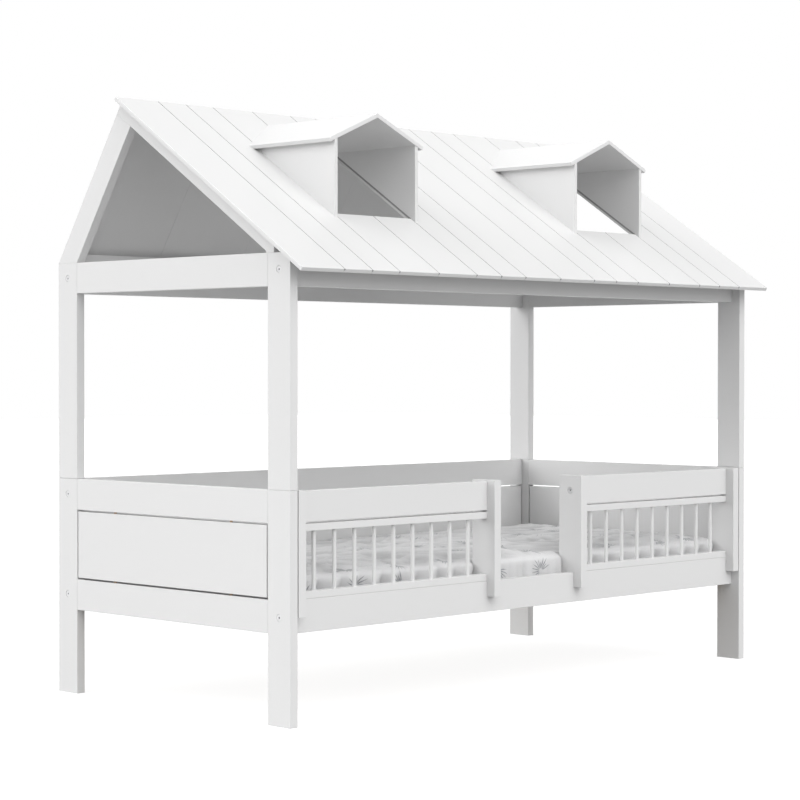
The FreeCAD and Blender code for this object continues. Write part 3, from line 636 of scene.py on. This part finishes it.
def makeSpindles(plan):
    tree = makeSpindleTree()
    for side in ("left", "right"):
        node = "guard_%s_spindles" % side
        low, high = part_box(node)
        count = len(loosePieces(node))
        diameter = high.y - low.y
        spacing = (high.x - low.x - diameter) / (count - 1)
        row = growPiece("spindles_" + side, tree, {
            "Count": count, "First Foot": (low.x + diameter / 2, low.y + diameter / 2, low.z),
            "Spacing": (spacing, 0.0, 0.0), "Length": high.z - low.z, "Diameter": diameter,
            "Eased End": plan["easedEnd"], "Sides": plan["sides"], "Steps": plan["steps"],
            "Material": lacquer["Upright"]})
        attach(row, "guard_" + side)
        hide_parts(node)


makeSpindles(spindlePlan)
print("spindles in both guards")


# bolts: one socket-head bolt, set on every place that the frame gives
boltPlan = {
    "rimRound": 0.0007,
    "rimSteps": 4,
    "keyAcross": 0.005,
    "keyDepth": 0.004,
    "keyChamfer": 0.0003,
    "sides": 36,             # a multiple of 6, for the key
    "threadPitch": 0.00125,
    "threadShare": 0.35,     # of the shank
    "threadDepth": 0.0006,
    "tipChamfer": 0.0012,
    "tipDome": 0.0002,
    "drillCone": 0.0008,     # at the foot of the key
    "smoothUpTo": 35,        # degrees between faces
    "spinSeed": 3,
}


def hexagonRadius(angle, across):
    # distance from the middle to the side of a hexagon
    sector = (angle + math.pi / 6) % (math.pi / 3) - math.pi / 6
    return across / 2 / math.cos(sector)


def boltRings(plan, headRadius, headHeight, shankRadius, length):
    # radius and height of each round ring, from the tip of the shank to the rim of the head
    tip = headHeight - length
    threadStart = tip + plan["tipChamfer"]
    pitch = plan["threadPitch"]
    rings = [(shankRadius - plan["tipChamfer"] * 0.7, tip)]
    turns = int((length - headHeight) * plan["threadShare"] / pitch)
    for turn in range(turns):
        z = threadStart + turn * pitch
        rings += [(shankRadius, z), (shankRadius - plan["threadDepth"], z + pitch / 2)]
    rings += [(shankRadius, threadStart + turns * pitch), (shankRadius, -headHeight),
              (headRadius, -headHeight)]
    for step in range(plan["rimSteps"] + 1):
        turn = math.pi / 2 * step / plan["rimSteps"]
        rings.append((headRadius - plan["rimRound"] * (1 - math.cos(turn)),
                      plan["rimRound"] * (math.sin(turn) - 1)))
    return rings


def makeBoltPattern(name, plan, headRadius, headHeight, shankRadius, length):
    # head outwards along +Z, its outer face at z 0
    sides = plan["sides"]
    angles = [2 * math.pi * k / sides for k in range(sides)]
    shell = bmesh.new()
    loops = []
    for radius, z in boltRings(plan, headRadius, headHeight, shankRadius, length):
        loops.append([shell.verts.new((radius * math.cos(angle), radius * math.sin(angle), z))
                      for angle in angles])
    key = plan["keyAcross"]
    keyFoot = -plan["keyDepth"]
    for across, z in ((key + 2 * plan["keyChamfer"], 0.0), (key, -plan["keyChamfer"]), (key, keyFoot)):
        loop = []
        for angle in angles:
            radius = hexagonRadius(angle, across)
            loop.append(shell.verts.new((radius * math.cos(angle), radius * math.sin(angle), z)))
        loops.append(loop)
    for lower, upper in zip(loops, loops[1:]):
        for k in range(sides):
            shell.faces.new((lower[k], lower[(k + 1) % sides], upper[(k + 1) % sides], upper[k]))
    tipEnd = headHeight - length - plan["tipDome"]
    for loop, z, turned in ((loops[0], tipEnd, True), (loops[-1], keyFoot - plan["drillCone"], False)):
        middle = shell.verts.new((0, 0, z))
        for k in range(sides):
            corner = (loop[k], loop[(k + 1) % sides], middle)
            shell.faces.new(tuple(reversed(corner)) if turned else corner)
    for edge in shell.edges:
        if len(edge.link_faces) == 2:
            edge.smooth = edge.calc_face_angle(0) < math.radians(plan["smoothUpTo"])
    for face in shell.faces:
        face.smooth = True
    mesh = bpy.data.meshes.new(name)
    shell.to_mesh(mesh)
    shell.free()
    # marks the key's walls and foot for painted shade
    shade = mesh.attributes.new("keyShade", "FLOAT", "POINT")
    keyShadeMask = [float(keyFoot - 0.001 < point.co.z < keyFoot * 0.8) for point in mesh.vertices]
    shade.data.foreach_set("value", keyShadeMask)
    pattern = bpy.data.objects.new(name, mesh)
    scene.collection.objects.link(pattern)
    return pattern


def makeBoltTree():
    tree, given, result = startGeometryTree("boltsOnPoints", [
        ("Bolt", "Object"), ("Spin Seed", "Int"), ("Material", "Material")])
    bolt = addNode(tree, "GeometryNodeObjectInfo", Object=given["Bolt"])["Geometry"]
    facing = addNode(tree, "GeometryNodeInputNamedAttribute", {"data_type": "FLOAT_VECTOR"}, Name="facing")[0]
    turn = addNode(tree, "FunctionNodeAlignRotationToVector", {"axis": "Z"}, Vector=facing)[0]
    spin = addNode(tree, "FunctionNodeRandomValue", {"data_type": "FLOAT"}, Min_001=0.0,
                   Max_001=math.pi / 3, Seed=given["Spin Seed"])
    spin = addNode(tree, "FunctionNodeAxisAngleToRotation", Axis=(0.0, 0.0, 1.0), Angle=spin[1])[0]
    turn = addNode(tree, "FunctionNodeRotateRotation", {"rotation_space": "LOCAL"}, Rotation=turn,
                   RotateBy=spin)[0]
    placed = addNode(tree, "GeometryNodeInstanceOnPoints", Points=given["Geometry"], Instance=bolt,
                     Rotation=turn)[0]
    solid = addNode(tree, "GeometryNodeRealizeInstances", Geometry=placed)[0]
    solid = addNode(tree, "GeometryNodeSetMaterial", Geometry=solid, Material=given["Material"])[0]
    tree.links.new(solid, result[0])
    return tree


def readBolt(points):
    # where a bolt lying along X has its head, which way the head looks, and its sizes
    low, high = points.min(0), points.max(0)
    middle = (low + high) / 2
    reach = np.hypot(points[:, 1] - middle[1], points[:, 2] - middle[2])
    headRadius = reach.max()
    wide = points[reach > headRadius * 0.7, 0]
    facing = 1.0 if wide.mean() > middle[0] else -1.0
    shank = reach[(facing * (wide.mean() - points[:, 0])) > 0.01]
    head = Vector((high[0] if facing > 0 else low[0], middle[1], middle[2]))
    return head, facing, headRadius, wide.max() - wide.min(), shank.max(), high[0] - low[0]


def makeBolts(plan):
    tree = makeBoltTree()
    for node, body in (("frame_bolts", "frame"), ("guard_left_screws", "guard_left"),
                       ("guard_right_screws", "guard_right")):
        bolts = [readBolt(points) for points in loosePieces(node)]
        mesh = bpy.data.meshes.new(node + "Places")
        mesh.from_pydata([bolt[0] for bolt in bolts], [], [])
        facing = mesh.attributes.new("facing", "FLOAT_VECTOR", "POINT")
        facing.data.foreach_set("vector", [value for bolt in bolts for value in (bolt[1], 0.0, 0.0)])
        pattern = makeBoltPattern(node + "Pattern", plan, *bolts[0][2:])
        group = growPiece(node.replace("frame_bolts", "connecting_bolts") + "_turned", tree, {
            "Bolt": pattern, "Spin Seed": plan["spinSeed"], "Material": zinc}, mesh)
        bpy.data.objects.remove(pattern)
        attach(group, body)
        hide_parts(node)
        print(node, len(bolts), "bolts, head radius", round(bolts[0][2] * 1000, 2), "mm")


makeBolts(boltPlan)
print("bolts in place")


# mattress: blown-up pad with gathered sides and low wrinkles on top
mattressPlan = {
    "cornerRadius": 0.026,       # seen from above
    "borderRadius": 0.024,
    "crown": 0.006,
    "crownReach": 0.13,
    "roundSteps": 6,
    "swellRoom": 0.004,          # the pad starts this much smaller on every side
    "voxel": 0.010,
    "pressure": 4.0,
    "frames": 20,
    "cap": 0.009,                # furthest that a point may move
    "heldFoot": 0.08,            # share of the height that stays put at the bottom
    "heldReach": 0.006,          # the points this near to a gather are held too
    "sideReach": 0.02,           # where they are this near to a long side
    "frontProud": 0.004,         # the front swells this far out between the guards
    "legRoom": 0.002,            # between the pad and the legs of the guards
    "legFade": 0.14,             # distance over which both fade out towards the back
    "shoulder": 0.006,           # round of the pad beside a leg
    "topShoulder": 0.022,        # how much wider that round is at the top edge
    "topShoulderEnd": 0.3,       # share of the height by which it is gone
    "seed": 7,
    "cloth": {"quality": 5, "mass": 0.3, "tension_stiffness": 18, "compression_stiffness": 18,
              "bending_stiffness": 0.8},
    "gathers": {
        "shift": 0.025,          # from the middle of a gap between spindles
        "stray": 0.1,            # share of a gap by which one may lie off its place
        "between": (0.4, 0.6),   # where in a gap a finer one lies
        "depth": 0.017,
        "deep": (0.75, 1.15),    # shares of that depth
        "fine": (0.05, 0.3),
        "entry": (0.3, 0.65),
        "entrySpacing": 0.037,   # between the two guards
        "entryFirst": 0.015,
        "entryStray": 0.2,
        "width": 0.022,
        "top": 0.38,             # share of the height by which a gather is at its full depth
        "reach": 0.05,           # how far from the side it fades out
        "shade": 0.85,           # share of the painted fold shade at the foot of the deepest gather
    },
    "wrinkles": {
        "height": 0.008,
        "from": 0.016,           # below the top, where they begin
        "rise": 0.010,           # the height in which they come in
        "long": (6.0, 11.0, 0),  # scales of the noise along X, Y and Z
        "fine": (15.0, 19.0, 0),
        "patch": (2.2, 3.5, 0),
        "swirl": (3.1, 3.6, 0),
        "swirlReach": 0.05,
        "shade": 0.42,           # share of the painted fold shade between them
    },
}


def ringPoints(low, high, inset, radius, z):
    # a rounded rectangle, anticlockwise from above, with the same number of points at every inset
    points = []
    steps = 8
    for index, (sx, sy) in enumerate(((1, 1), (-1, 1), (-1, -1), (1, -1))):
        corner = radius - inset * 0.2
        cx = (high[0] if sx > 0 else low[0]) - sx * (inset + corner)
        cy = (high[1] if sy > 0 else low[1]) - sy * (inset + corner)
        for step in range(steps + 1):
            angle = math.pi / 2 * (index + step / steps)
            points.append((cx + corner * math.cos(angle), cy + corner * math.sin(angle), z))
    return points


def makePadShell(plan, low, high):
    border = plan["borderRadius"]
    top = high.z - plan["crown"]
    turns = [math.pi / 2 * step / plan["roundSteps"] for step in range(plan["roundSteps"] + 1)]
    rings = [(border * (1 - math.sin(turn)), low.z + border * (1 - math.cos(turn))) for turn in turns]
    rings += [(border * (1 - math.cos(turn)), top - border * (1 - math.sin(turn))) for turn in turns]
    for share in (0.25, 0.5, 0.75, 1.0):
        z = top + plan["crown"] * math.sin(math.pi / 2 * share)
        rings.append((border + plan["crownReach"] * share, z))
    shell = bmesh.new()
    loops = []
    for inset, z in rings:
        points = ringPoints(low, high, inset, plan["cornerRadius"], z)
        loops.append([shell.verts.new(point) for point in points])
    for lower, upper in zip(loops, loops[1:]):
        for k in range(len(lower)):
            after = (k + 1) % len(lower)
            shell.faces.new((lower[k], lower[after], upper[after], upper[k]))
    shell.faces.new(loops[-1])
    shell.faces.new(list(reversed(loops[0])))
    mesh = bpy.data.meshes.new("padShell")
    shell.to_mesh(mesh)
    shell.free()
    return mesh


def settle(obj):
    # the mesh that an object's modifiers make, as its own plain mesh
    bpy.context.view_layer.update()
    made = bpy.data.meshes.new_from_object(obj.evaluated_get(bpy.context.evaluated_depsgraph_get()))
    obj.modifiers.clear()
    obj.data = made


def meshPoints(mesh):
    flat = np.zeros(len(mesh.vertices) * 3)
    mesh.vertices.foreach_get("co", flat)
    return flat.reshape(-1, 3)


def gatherLines(plan, rng):
    # places and depths of the gathers: a deep one for each gap between spindles, finer ones elsewhere
    lines = []
    for side in ("left", "right"):
        low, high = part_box("guard_%s_spindles" % side)
        count = len(loosePieces("guard_%s_spindles" % side))
        step = (high.x - low.x) / (count - 1)
        for k in range(count + 1):
            place = low.x + (k - 0.5) * step + plan["shift"]
            stray = rng.uniform(-plan["stray"], plan["stray"])
            lines.append((place + stray * step, rng.uniform(*plan["deep"])))
            lines.append((place + rng.uniform(*plan["between"]) * step, rng.uniform(*plan["fine"])))
    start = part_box("guard_left_inner_board")[1].x + plan["entryFirst"]
    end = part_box("guard_right_inner_board")[0].x
    spacing = plan["entrySpacing"]
    for place in np.arange(start, end, spacing):
        stray = rng.uniform(-plan["entryStray"], plan["entryStray"])
        lines.append((place + stray * spacing, rng.uniform(*plan["entry"])))
    places, shares = np.array(lines).T
    return places, shares * plan["depth"]


def gatherAmount(plan, along, lines, depths):
    # how far the cover is drawn in at each point along a side, 0 between the gathers
    total = np.zeros(len(along))
    for line, depth in zip(lines, depths):
        away = (along - line) / plan["width"]
        total += depth * (0.7 * np.exp(-away ** 2) + 0.3 * np.exp(-(3 * away) ** 2))
    return total


def holdWeights(start, plan, low, high, lines):
    # how firmly the cloth holds each point: at the bottom, and along the deep gathers less towards the top
    rise = (start[:, 2] - low.z) / (high.z - low.z)
    onSide = (start[:, 1] < low.y + plan["sideReach"]) | (start[:, 1] > high.y - plan["sideReach"])
    toLine = np.abs(start[:, 0][:, None] - np.array(lines)[None, :]).min(1)
    weights = np.where(rise < plan["heldFoot"], 1.0, 0.0)
    return np.where(onSide & (toLine < plan["heldReach"]), np.maximum(weights, 1.0 - rise), weights)


def blowUp(pad, plan, low, high, lines):
    start = meshPoints(pad.data)
    hold = pad.vertex_groups.new(name="hold")
    for index, weight in enumerate(holdWeights(start, plan, low, high, lines)):
        if weight:
            hold.add([index], weight, "REPLACE")
    cloth = pad.modifiers.new("cloth", "CLOTH")
    for key, value in plan["cloth"].items():
        setattr(cloth.settings, key, value)
    cloth.settings.use_pressure = True
    cloth.settings.uniform_pressure_force = plan["pressure"]
    cloth.settings.effector_weights.gravity = 0
    cloth.settings.vertex_group_mass = "hold"
    for number in range(1, plan["frames"] + 1):
        scene.frame_set(number)
    settle(pad)
    scene.frame_set(1)
    blown = meshPoints(pad.data)
    move = blown - start
    far = np.linalg.norm(move, axis=1)
    move *= np.minimum(1, plan["cap"] / np.maximum(far, 1e-9))[:, None]
    pad.data.vertices.foreach_set("co", (start + move).ravel())
    pad.data.update()
    print("pad blown up: largest move", round(float(far.max()) * 1000, 1), "mm")


def noiseOn(points, scale, seed):
    # smooth noise from -1 to 1 at many points
    wide, deep, tall = scale
    return np.array([noise.noise((x * wide + seed, y * deep + seed, z * tall)) for x, y, z in points])


def laidFlat(points, plan, low, high):
    # places on the cover laid flat: the top as it lies, the sides folded out
    reach = plan["cornerRadius"]
    innerX = np.clip(points[:, 0], low.x + reach, high.x - reach)
    innerY = np.clip(points[:, 1], low.y + reach, high.y - reach)
    out = np.stack([points[:, 0] - innerX, points[:, 1] - innerY], 1)
    far = np.linalg.norm(out, axis=1)
    way = out / np.maximum(far, 1e-9)[:, None]
    below = np.maximum(high.z - plan["crown"] - points[:, 2], 0)
    return np.stack([innerX + way[:, 0] * (far + below), innerY + way[:, 1] * (far + below),
                     np.zeros(len(points))], 1)


def wrinkleLift(points, plan, seed):
    # height of the wrinkles, from about 1 on a crest to below 0 between them, and how wrinkled each place is
    swirl = noiseOn(points, plan["swirl"], seed) * plan["swirlReach"]
    shifted = points + np.stack([np.zeros(len(points)), swirl, np.zeros(len(points))], 1)
    long = noiseOn(shifted, plan["long"], seed + 11)
    fine = noiseOn(shifted, plan["fine"], seed + 23)
    patch = np.clip(noiseOn(points, plan["patch"], seed + 37) * 1.6 + 0.5, 0, 1)
    lift = (0.5 - np.abs(long) * 2.6) + (0.5 - np.abs(fine) * 2.6) * (0.35 + 0.5 * patch)
    return lift, patch


def legDents(plan, along, drop, push):
    # how far the front face is pushed in at each x: all the way at the guards' legs, rounded beside them
    depth = np.zeros(len(along))
    widening = np.clip(1 - drop / plan["topShoulderEnd"], 0, 1) ** 1.5
    for side in ("left", "right"):
        for board, topShoulder in (("inner", plan["topShoulder"]), ("outer", 0)):
            shoulder = plan["shoulder"] + topShoulder * widening
            low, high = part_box("guard_%s_%s_board" % (side, board))
            off = np.maximum(low.x - plan["legRoom"] - along, along - high.x - plan["legRoom"])
            turn = shoulder - np.clip(off, 0, shoulder)
            rounded = shoulder - np.sqrt(np.maximum(shoulder ** 2 - turn ** 2, 0))
            depth = np.maximum(depth, np.where(off <= 0, push, rounded))
    return depth


def shapePad(pad, plan, low, high, lines, depths):
    gathers, wrinkles = plan["gathers"], plan["wrinkles"]
    points = meshPoints(pad.data)
    drop = np.clip((high.z - points[:, 2]) / (high.z - low.z), 0, 1)
    cover = pad.data.attributes.new("coverMap", "FLOAT_VECTOR", "POINT")
    cover.data.foreach_set("vector", laidFlat(points, plan, low, high).ravel().astype(np.float32))
    # gathers on the long sides, deepest low down
    inFrom = np.minimum(points[:, 1] - low.y, high.y - points[:, 1])
    edge = np.clip(1 - inFrom / gathers["reach"], 0, 1)
    lowDown = np.clip(drop / gathers["top"], 0, 1) ** 1.2
    pull = gatherAmount(gathers, points[:, 0], lines, depths) * edge * lowDown
    points[:, 1] += pull * np.where(points[:, 1] < (low.y + high.y) / 2, 1, -1)
    # low wrinkles on top, in patches
    onTop = np.clip((points[:, 2] - (high.z - wrinkles["from"])) / wrinkles["rise"], 0, 1)
    lift, patch = wrinkleLift(points, wrinkles, plan["seed"])
    points[:, 2] += lift * onTop * (0.45 + 0.55 * patch) * wrinkles["height"]
    # painted shade where folds keep the light out: the foot of a gather and the lows between wrinkles are
    # darker
    lower = np.clip(drop / (1.6 * gathers["top"]), 0, 1)
    shade = np.clip(pull / gathers["depth"], 0, 1) ** 1.2 * lower * gathers["shade"]
    shade += np.clip(0.45 - lift, 0, 1) * onTop * wrinkles["shade"]
    folds = pad.data.attributes.new("foldShade", "FLOAT", "POINT")
    folds.data.foreach_set("value", np.clip(shade, 0, 1).astype(np.float32))
    # the front swells forward; room for the legs of the guards fades out over the pad
    near = np.clip(1 - (points[:, 1] - low.y) / plan["legFade"], 0, 1)
    points[:, 1] -= (points[:, 1].min() - low.y + plan["frontProud"]) * near
    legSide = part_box("guard_left_inner_board")[1].y + plan["legRoom"]
    push = legSide - low.y + plan["frontProud"]
    dents = legDents(plan, points[:, 0], drop, push)
    points[:, 1] += dents * near ** 1.5
    points[:, 1] = np.where(dents >= push, np.maximum(points[:, 1], legSide), points[:, 1])
    points[:, 2] = np.maximum(points[:, 2], low.z)
    pad.data.vertices.foreach_set("co", points.ravel())
    pad.data.update()


def makeCover():
    material, tree, shader = startMaterial("printedCover")
    cover = tree.nodes.new("ShaderNodeAttribute")
    cover.attribute_name = "coverMap"
    place = cover.outputs["Vector"]
    weave = placeGroup(tree, clothWeave, Vector=place)
    light = tuple(min(1, 1.02 * channel) for channel in finishPlan["cover"][:3]) + (1,)
    dark = tuple(0.93 * channel for channel in finishPlan["cover"][:3]) + (1,)
    cloth = mixColour(tree, weave["Shade"], dark, light)
    # painted shade in the folds, from the pad's foldShade attribute
    folds = tree.nodes.new("ShaderNodeAttribute")
    folds.attribute_name = "foldShade"
    cloth = mixColour(tree, folds.outputs["Fac"], cloth, finishPlan["foldTone"])
    reeds = placeGroup(tree, reedPrint, Vector=place)
    worn = remap(tree, noiseAt(tree, place, 90.0), 0.3, 0.7, 0.55, 0.95)
    printed = calc(tree, "MULTIPLY", reeds["Mask"], worn)
    tree.links.new(mixColour(tree, printed, cloth, finishPlan["ink"]), shader.inputs["Base Color"])
    shader.inputs["Roughness"].default_value = 0.85
    shader.inputs["Sheen Weight"].default_value = 0.15
    addBump(tree, shader, weave["Height"], 0.0002)
    return material


def makeMattress(plan):
    low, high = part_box("mattress")
    rng = np.random.default_rng(plan["seed"])
    room = plan["swellRoom"]
    start = low + Vector((room, 0, 0))
    end = high - Vector((room, room, room / 2))
    pad = bpy.data.objects.new("mattress_pad", makePadShell(plan, start, end))
    scene.collection.objects.link(pad)
    remesh = pad.modifiers.new("remesh", "REMESH")
    remesh.mode = "VOXEL"
    remesh.voxel_size = plan["voxel"]
    settle(pad)
    lines, depths = gatherLines(plan["gathers"], rng)
    deepLines = lines[depths > 0.6 * plan["gathers"]["depth"]]
    blowUp(pad, plan, low, high, deepLines)
    smoother = pad.modifiers.new("smoother", "SUBSURF")
    smoother.levels = smoother.render_levels = 1
    settle(pad)
    shapePad(pad, plan, low, high, lines, depths)
    made = meshPoints(pad.data)
    print("pad from", made.min(0).round(4), "to", made.max(0).round(4), "in", tuple(low), tuple(high))
    for face in pad.data.polygons:
        face.use_smooth = True
    pad.data.materials.clear()
    pad.data.materials.append(makeCover())
    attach(pad, "mattress")
    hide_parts("mattress")


makeMattress(mattressPlan)
print("mattress made")
